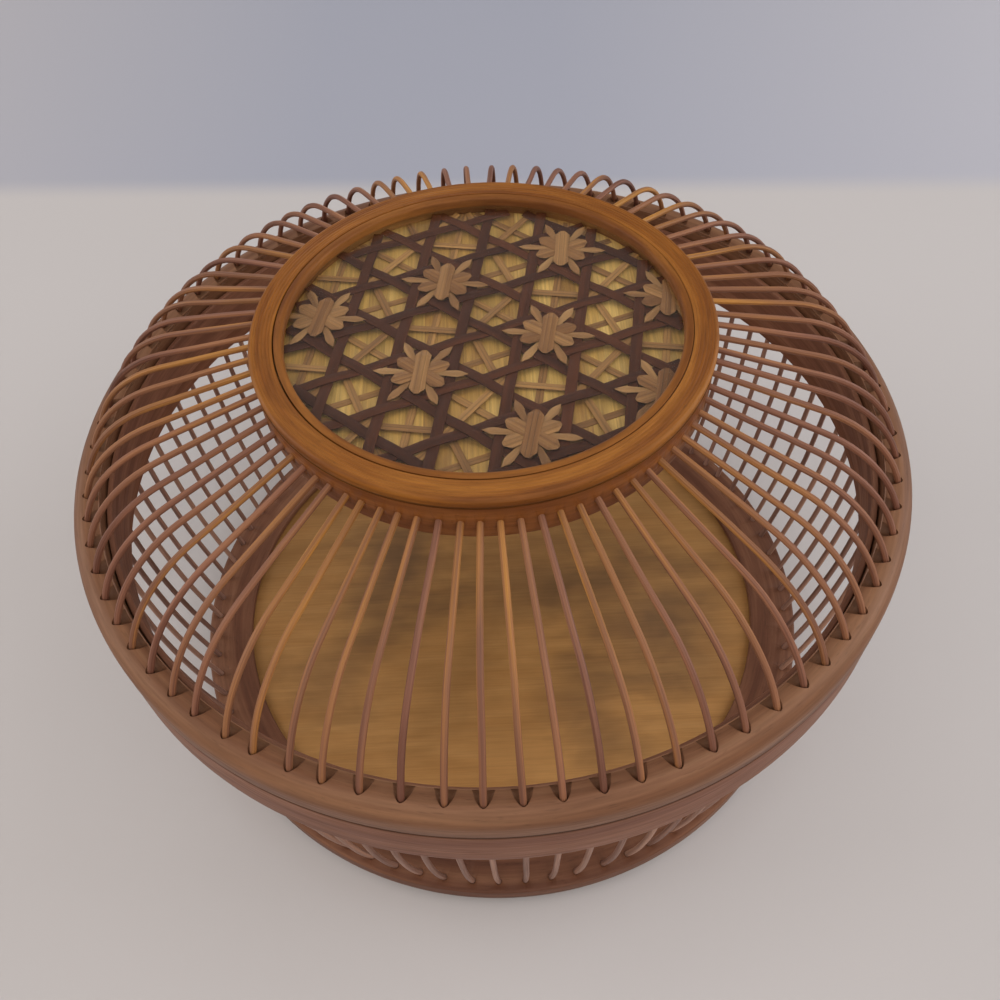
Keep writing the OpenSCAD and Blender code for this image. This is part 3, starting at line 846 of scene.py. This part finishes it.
half_length = calc(tree, "SQRT", minus(tree, reach_square, offside_square))
thread = made(tree, "GeometryNodeCurvePrimitiveLine", {"Start": (-1, 0, 0), "End": (1, 0, 0)})
threads = copied(tree, points, thread, Scale=spot(tree, half_length, 1.0, 1.0))
feeds = {"Curve": threads, "Length": STRIP_STEP * MM}
threads = made(tree, "GeometryNodeResampleCurve", feeds, mode="LENGTH")
threads = stored(tree, threads, "strip_along", place[0])
# Each strip rises and falls once in a pitch of the weave, and its neighbours run half a beat off.
beat = calc(tree, "DIVIDE", minus(tree, place[0], star_along), given["Wave"])
beat = plus(tree, calc(tree, "MULTIPLY_ADD", named(tree, "strip_row"), -0.5, beat), 0.25)
wave = calc(tree, "COSINE", times(tree, beat, 2 * math.pi))
flatter = calc(tree, "MULTIPLY_ADD", times(tree, wave, wave), -0.5, 1.5)
lift = times(tree, times(tree, wave, flatter), given["Lift"])
threads = made(tree, "GeometryNodeSetPosition", {0: threads, "Offset": spot(tree, z=lift)})
threads = made(tree, "GeometryNodeSetCurveNormal", {"Curve": threads}, mode="Z_UP")
section = strip_section(tree, given["Width"], given["Thickness"], STRIP_EASING)
strips = swept(tree, threads, marked(tree, section, "strip_section"))
height, direction = (spot(tree, z=given[label]) for label in ("Height", "Direction"))
delivered(tree, moved(tree, strips, Translation=height, Rotation=direction), given, result)

WEAVE_PITCH, WEAVE_TURN, PANEL_RADIUS = 17.8, math.radians(20), 53.5
WEAVE_ROW = WEAVE_PITCH * math.sqrt(3) / 2
MIDDLE_STAR = Vector((17.1, -2.9))
HEXAGON = math.radians(60)
STRIP_COUNT = 13
STRIP_STOPS = (0.15, 0.5, 0.85)
CROSS_WIDTH, CROSS_THICKNESS, CROSS_STEP, CROSS_BOTTOM, CROSS_SEED = 2, 0.2, 0.22, 135.08, 40


def laid(material, direction, spacing, width, thickness, height, seed, shift=0, lift=0):
    """Mesh of the strips in one direction, from sizes in millimetres."""
    values = {
        "Count": STRIP_COUNT,
        "Spacing": spacing * MM,
        "Shift": shift,
        "Direction": direction,
        "Star": (MIDDLE_STAR.x * MM, MIDDLE_STAR.y * MM, 0),
        "Reach": PANEL_RADIUS * MM,
        "Width": width * MM,
        "Thickness": thickness * MM,
        "Height": height * MM,
        "Lift": lift * MM,
        "Wave": WEAVE_PITCH * MM,
        "Seed": seed,
        "Material": material,
    }
    return grown(strip_row, values)


NATURAL_STRIP = splint_bamboo(
    "natural_strip_bamboo", "strip",
    zip(STRIP_STOPS, ((116, 78, 40), (134, 94, 50), (152, 110, 60))),
    contrast=0.14, sheen=0.3, split=(0, 0.16),
)
for family, letter in enumerate("abc"):
    for side, level, direction, spacing in (
        ("along", family, 0, 2 * WEAVE_ROW),
        ("across", family + 3, math.pi / 2, WEAVE_PITCH),
    ):
        node = "cross_strips_" + side + "_" + letter
        strip_mesh = laid(
            NATURAL_STRIP, WEAVE_TURN + direction + family * HEXAGON, spacing,
            width=CROSS_WIDTH, thickness=CROSS_THICKNESS,
            height=CROSS_BOTTOM + CROSS_THICKNESS / 2 + level * CROSS_STEP,
            seed=CROSS_SEED + level,
        )
        settle("thin_" + node, strip_mesh, NATURAL_STRIP, "lid", "natural_strip", node)


# Weave strips
# Wide dark-stained strips woven in three directions. Each strip goes over the next family
# and under the one before it, which locks the open hexagons in place.
WEAVE_WIDTH, WEAVE_THICKNESS, WEAVE_MIDDLE, WEAVE_LIFT, WEAVE_SEED = 2.9, 0.3, 136.87, 0.2, 60
DARK_STRIP = splint_bamboo(
    "dark_strip_bamboo", "strip",
    zip(STRIP_STOPS, ((56, 26, 12), (63, 30, 13), (73, 36, 16))),
    contrast=0.16, sheen=0.12, rough=(0.46, 0.62), relief=0.06,
)
for family, letter in enumerate("abc"):
    node = "weave_strips_" + letter
    strip_mesh = laid(
        DARK_STRIP, WEAVE_TURN + family * HEXAGON, WEAVE_ROW,
        width=WEAVE_WIDTH, thickness=WEAVE_THICKNESS, height=WEAVE_MIDDLE,
        seed=WEAVE_SEED + family, shift=0.5, lift=WEAVE_LIFT,
    )
    settle("dark_" + node, strip_mesh, DARK_STRIP, "lid", "dark_strip", node)


# Stars
# Twelve-pointed straw stars over every second hexagon. Each is laid up from six strips that
# cross in its middle, three with spear ends and three broad blunt ones, cut off at the hoop.
STAR_SPAN, STAR_MARGIN, STAR_BOTTOM, STAR_STRAY = 3, 1.5, 137.3, math.radians(7)
STAR_REACH = PANEL_RADIUS - 0.3
STRAW, STRAW_STEP, STRAW_EASING = 0.09, 0.1, 0.4
RAY_STEPS, RAY_TONES, RAY_TONE_STEP = 45, 5, 0.37


def star_tree(name, stations):
    """Tree that lays three crossing strips on every star, with half widths set along half a strip."""
    tree, given, result = shape_tree(name, {
        "Seed": WHOLE, "Star": ARROW, "Heights": ARROW,
        **numbers("Pitch", "Weave Turn", "Turn", "Reach", "Margin", "Length", "Width", "Thickness", "Stray"),
    })
    # The middles of the stars lie in slanting rows and columns, two pitches apart.
    side = 2 * STAR_SPAN + 1
    index = made(tree, "GeometryNodeInputIndex")
    row = calc(tree, "FLOOR", calc(tree, "DIVIDE", plus(tree, index, 0.5), side))
    column = plus(tree, calc(tree, "MULTIPLY_ADD", row, -side, index), -STAR_SPAN)
    row = plus(tree, row, -STAR_SPAN)
    apart = times(tree, given["Pitch"], 2)
    along = times(tree, calc(tree, "MULTIPLY_ADD", column, math.cos(HEXAGON), row), apart)
    across = times(tree, times(tree, column, -math.sin(HEXAGON)), apart)
    feeds = {"Count": side * side, "Position": spot(tree, along, across)}
    points = made(tree, "GeometryNodePoints", feeds)
    weave_turn = spot(tree, z=given["Weave Turn"])
    points = moved(tree, points, Translation=given["Star"], Rotation=weave_turn)
    points = stored(tree, points, "star_tone", drawn(tree, index, given["Seed"]))
    position = made(tree, "GeometryNodeInputPosition")
    limit = minus(tree, given["Reach"], given["Margin"])
    points = kept_within(tree, points, vector(tree, "LENGTH", position), limit)

    # One strip lies along the first axis and is narrowed to its half widths.
    ends = [spot(tree, times(tree, given["Length"], way)) for way in (-1, 1)]
    strip = made(tree, "GeometryNodeCurvePrimitiveLine", {"Start": ends[0], "End": ends[1]})
    strip = made(tree, "GeometryNodeResampleCurve", {"Curve": strip, "Count": RAY_STEPS})
    strip = made(tree, "GeometryNodeSetCurveNormal", {"Curve": strip}, mode="Z_UP")
    full_width = times(tree, given["Width"], 2)
    strip = swept(tree, strip, strip_section(tree, full_width, given["Thickness"], STRAW_EASING))
    place = axes_of(tree, position)
    run = calc(tree, "DIVIDE", calc(tree, "ABSOLUTE", place[0]), given["Length"])
    shape = put(tree, "ShaderNodeFloatCurve", {"Value": run})
    longest, widest = stations[-1][0], max(width for _, width in stations)
    knots = shape.mapping.curves[0].points
    for k, (at, width) in enumerate(stations):
        knot = knots[k] if k < 2 else knots.new(0, 0)
        knot.location = (at / longest, width / widest)
        knot.handle_type = "VECTOR"
    shape.mapping.update()
    narrowed = spot(tree, place[0], times(tree, place[1], shape.outputs[0]), place[2])
    strip = made(tree, "GeometryNodeSetPosition", {0: strip, "Position": narrowed})
    strip = stored(tree, strip, "ray_along", place[0])
    strip = stored(tree, strip, "ray_section", spot(tree, place[1], place[2]), "FLOAT_VECTOR")

    # Three layers of strips, each at its own height, cross at every middle.
    heights = axes_of(tree, given["Heights"])
    first_turn = plus(tree, given["Weave Turn"], given["Turn"])
    star_tone = named(tree, "star_tone")
    layers = put(tree, "GeometryNodeJoinGeometry")
    for k in range(3):
        turn = spot(tree, z=plus(tree, first_turn, k * HEXAGON))
        layer = moved(tree, strip, Translation=spot(tree, z=heights[k]), Rotation=turn)
        own_tone = calc(tree, "FRACT", calc(tree, "MULTIPLY_ADD", star_tone, RAY_TONES, RAY_TONE_STEP * k))
        askew = times(tree, minus(tree, own_tone, 0.5), given["Stray"])
        layer = copied(tree, points, layer, Rotation=spot(tree, z=askew))
        tree.links.new(stored(tree, layer, "ray_tone", own_tone), layers.inputs[0])
    flat_reach = vector(tree, "LENGTH", vector(tree, "MULTIPLY", position, (1, 1, 0)))
    cut = calc(tree, "MINIMUM", calc(tree, "DIVIDE", given["Reach"], flat_reach), 1)
    cut_place = vector(tree, "MULTIPLY", position, spot(tree, cut, cut, 1.0))
    stars = made(tree, "GeometryNodeSetPosition", {0: layers.outputs[0], "Position": cut_place})
    delivered(tree, stars, given, result)
    return tree


# Each station of a strip is a distance from its middle and half a width there.
SPEAR = ((0, 0.8), (5, 0.8), (7.2, 0.98), (9.3, 1.22), (10.5, 0.95), (12.3, 0.05))
BLUNT = ((0, 1.8), (3.5, 1.9), (6, 2.1), (6.2, 2), (7.8, 0.6))
SPEAR_STRAW = splint_bamboo(
    "spear_straw", "ray",
    zip(STRIP_STOPS, ((113, 76, 42), (128, 90, 52), (145, 107, 65))),
    contrast=0.12, sheen=0.25,
)
# Its split lines are painted shade in the gaps between the straws of each blunt strip.
BLUNT_STRAW = splint_bamboo(
    "blunt_straw", "ray",
    zip(STRIP_STOPS, ((108, 69, 34), (124, 84, 46), (143, 103, 60))),
    contrast=0.14, sheen=0.25, split=(0.62, 0.13),
)
for name, stations, turn, levels, seed, straw, node in (
    ("long_straw_rays", SPEAR, HEXAGON / 2, (0, 1, 2), 81, SPEAR_STRAW, "star_long_rays"),
    ("short_straw_rays", BLUNT, 0, (3, 5, 4), 82, BLUNT_STRAW, "star_short_rays"),
):
    values = {
        "Star": (MIDDLE_STAR.x * MM, MIDDLE_STAR.y * MM, 0),
        "Pitch": WEAVE_PITCH * MM,
        "Weave Turn": WEAVE_TURN,
        "Turn": turn,
        "Heights": [(STAR_BOTTOM + STRAW / 2 + level * STRAW_STEP) * MM for level in levels],
        "Reach": STAR_REACH * MM,
        "Margin": STAR_MARGIN * MM,
        "Length": stations[-1][0] * MM,
        "Width": max(width for _, width in stations) * MM,
        "Thickness": STRAW * MM,
        "Stray": STAR_STRAY,
        "Seed": seed,
        "Material": straw,
    }
    settle(name, grown(star_tree(name, stations), values), straw, "lid", "star_straw", node)


# Spacer hoop
# A thin bent strip round the edge of the weave. The clear disc rests on it, so the straw
# stars aren't pressed flat.
SPACER = hoop_bamboo("spacer_bamboo", 55, (96, 60, 32), (120, 80, 42), (142, 100, 56))
spacer_outline = band_outline(
    inner=53.8, outer=PANEL_EDGE, bottom=135.08, top=137.98, easings=(0.1, 0.1, 0.1, 0.2)
)
settle("spacer_strip", turned(spacer_outline), SPACER, "lid", "dark_crown_bamboo", "spacer_hoop")


# Clear disc
# A round of thin clear sheet over the weave, held by its edge between the spacer hoop and
# the retaining hoop.
clear_sheet, tree, surface = new_material("clear_sheet")
surface["Base Color"].default_value = (0.97, 0.98, 0.98, 1)
surface["Roughness"].default_value = 0.03
surface["IOR"].default_value = 1.45
surface["Transmission Weight"].default_value = 1
lets_lamps_by = made(tree, "ShaderNodeMixShader", {
    0: put(tree, "ShaderNodeLightPath").outputs["Is Shadow Ray"],
    1: tree.nodes["Principled BSDF"].outputs[0],
    2: made(tree, "ShaderNodeBsdfTransparent", {0: (0.94, 0.95, 0.95, 1)}),
})
tree.links.new(lets_lamps_by, tree.nodes["Material Output"].inputs["Surface"])
disc_outline = band_outline(inner=0, outer=PANEL_EDGE, bottom=138, top=139.5, easings=(0, 0.15, 0.15, 0))
settle("clear_cover", turned(disc_outline), clear_sheet, "lid", "clear_sheet", "clear_disc")


# Retaining hoop
# A narrow bent strip pressed in against the crown ring, which holds the clear disc down. It
# sits a little off the middle, so a dark line shows where the two part.
RETAINING_SHIFT = Vector((0.11, 0.18, 0))
DISC_COVER = 139.52
RETAINING = hoop_bamboo("retaining_bamboo", 62, (108, 60, 22), (128, 76, 28), (145, 90, 36))
retaining_outline = band_outline(
    inner=52.5, outer=54.76, bottom=DISC_COVER, top=142.3, easings=(0.2, 0.2, 0.15, 0.9)
)
retaining_mesh = turned(retaining_outline)
retaining_mesh.transform(Matrix.Translation(RETAINING_SHIFT * MM))
settle("retaining_strip", retaining_mesh, RETAINING, "lid", "bright_crown_bamboo", "retaining_hoop")


# Crown ring
# The bright top ring of the crown, wound up from thin bamboo strips and bevelled outside.
# The edges of the strips show as fine lines round its top.
CROWN_INSIDE, CROWN_LAP, CROWN_OUTSIDE, CROWN_TOP = 55, 56.2, 61.3, 142.5
BEVEL_INSIDE, BEVEL_BOTTOM = 60.6, 141.7
INNER_EDGE = ((55.2, CROWN_TOP), (CROWN_INSIDE, 142.35))
GROOVES, GROOVE, GROOVE_DEPTH = (60, 59.3, 58.5, 57.6, 56.6, 55.8), 0.14, 0.1
# Painted shade in the crease where the crown ring meets the socket ring below it.
CROWN_SHADE = (SOCKET_RING_TOP, 0.9, CROWN_OUTSIDE, 1.2, 0.5)
BRIGHT_CROWN = hoop_bamboo(
    "bright_crown_bamboo", 70, (118, 66, 21), (138, 82, 27), (155, 97, 36), shade_zones=[CROWN_SHADE]
)
crown_outline = eased([
    (CROWN_INSIDE, DISC_COVER, 0),
    (CROWN_LAP, DISC_COVER, 0),
    (CROWN_LAP, SOCKET_RING_TOP, 0),
    (CROWN_OUTSIDE, SOCKET_RING_TOP, 0.3),
])
crown_outline += eased([
    (CROWN_OUTSIDE, SOCKET_RING_TOP, 0),
    (CROWN_OUTSIDE, BEVEL_BOTTOM, 0.4),
    (BEVEL_INSIDE, CROWN_TOP, 0.4),
    (CROWN_INSIDE, CROWN_TOP, 0),
])[1:-1]
for radius in GROOVES:
    for aside, depth in ((GROOVE, 0), (0, GROOVE_DEPTH), (-GROOVE, 0)):
        crown_outline.append(Vector((radius + aside, CROWN_TOP - depth)))
crown_outline += [Vector(point) for point in INNER_EDGE]
settle("crown_hoop", turned(crown_outline), BRIGHT_CROWN, "lid", "bright_crown_bamboo", "crown_ring")


# Table
# A pale painted table that runs back to a cooler wall colour, and the soft light of a
# bright room. The camera stands in front and looks down at the lid.
TABLE_HALF = 4.0
WALL_LEAN, WALL_START, WALL_END = 0.0736, 0.262, 0.284
table = bpy.data.meshes.new("table")
corners = [(x * TABLE_HALF, y * TABLE_HALF, 0) for x, y in ((-1, -1), (1, -1), (1, 1), (-1, 1))]
table.from_pydata(corners, [], [(0, 1, 2, 3)])
pale_paint, tree, surface = new_material("pale_paint")
side, back, _ = axes_of(tree, own_place(tree))
back = calc(tree, "MULTIPLY_ADD", side, WALL_LEAN, back)
wall = remap(tree, back, WALL_START, WALL_END, 0, 1, interpolation_type="SMOOTHSTEP")
# Painted light: the wall band is lighter towards both sides and darker in the middle.
wall_tone_and_light = ramp(
    tree, plus(tree, side, 0.5),
    (0.1, (182, 178, 183)), (0.4, (166, 167, 180)), (0.55, (167, 168, 181)), (0.9, (191, 188, 195)),
)
tree.links.new(mixed(tree, wall, dye(197, 191, 190), wall_tone_and_light), surface["Base Color"])
surface["Roughness"].default_value = 0.85
surface["Specular IOR Level"].default_value = 0.2
table.materials.append(pale_paint)
table_top = bpy.data.objects.new("table_top", table)
bpy.context.scene.collection.objects.link(table_top)

world = bpy.data.worlds.new("room")
world.use_nodes = True
room = world.node_tree.nodes["Background"].inputs
room["Color"].default_value = (1.0, 0.96, 0.91, 1)
room["Strength"].default_value = 0.2
bpy.context.scene.world = world

CAGE_MIDDLE = Vector((0, 0, 0.09))


def soft_lamp(name, place, size, power, colour):
    """Square soft lamp that faces the middle of the cage."""
    light = bpy.data.lights.new(name, "AREA")
    light.size = size
    light.energy = power
    light.color = colour
    lamp = bpy.data.objects.new(name, light)
    bpy.context.scene.collection.objects.link(lamp)
    lamp.location = place
    lamp.rotation_euler = (CAGE_MIDDLE - Vector(place)).to_track_quat("-Z", "Y").to_euler()


soft_lamp("ceiling_lamp", (0.1, -0.45, 1.6), size=2.2, power=17.6, colour=(1, 0.98, 0.96))
soft_lamp("left_lamp", (-1.4, 0.2, 0.75), size=1.2, power=10.2, colour=(1, 0.98, 0.95))
soft_lamp("right_lamp", (1.4, 0.2, 0.75), size=1.2, power=11.6, colour=(0.92, 0.96, 1))
soft_lamp("window_lamp", (-0.36, 1.4, 0.56), size=0.6, power=1.8, colour=(0.94, 0.97, 1))
soft_lamp("front_lamp", (0.2, -0.85, 0.45), size=0.5, power=1.6, colour=(1, 0.91, 0.8))

FOCAL, FRAME_PIXELS, SENSOR = 946.13, 1000, 36
CAMERA_PLACE = Vector((0.00355, -0.1904, 0.308))
PITCH, SWING, ROLL = 0.9075107, -0.0080065, -0.0546567
level = Vector((math.cos(SWING), -math.sin(SWING), 0))
forward = Vector((math.sin(SWING) * math.cos(PITCH), math.cos(SWING) * math.cos(PITCH), -math.sin(PITCH)))
upward = level.cross(forward)
picture_x = math.cos(ROLL) * level + math.sin(ROLL) * upward
picture_y = -math.sin(ROLL) * level + math.cos(ROLL) * upward
lens = bpy.data.cameras.new("camera")
lens.sensor_width = SENSOR
lens.lens = FOCAL / FRAME_PIXELS * SENSOR
lens.clip_start = 0.01
camera = bpy.data.objects.new("camera", lens)
bpy.context.scene.collection.objects.link(camera)
turn = Matrix((picture_x, picture_y, -forward)).transposed().to_4x4()
camera.matrix_world = Matrix.Translation(CAMERA_PLACE) @ turn
bpy.context.scene.camera = camera
bpy.context.scene.view_settings.view_transform = "Standard"
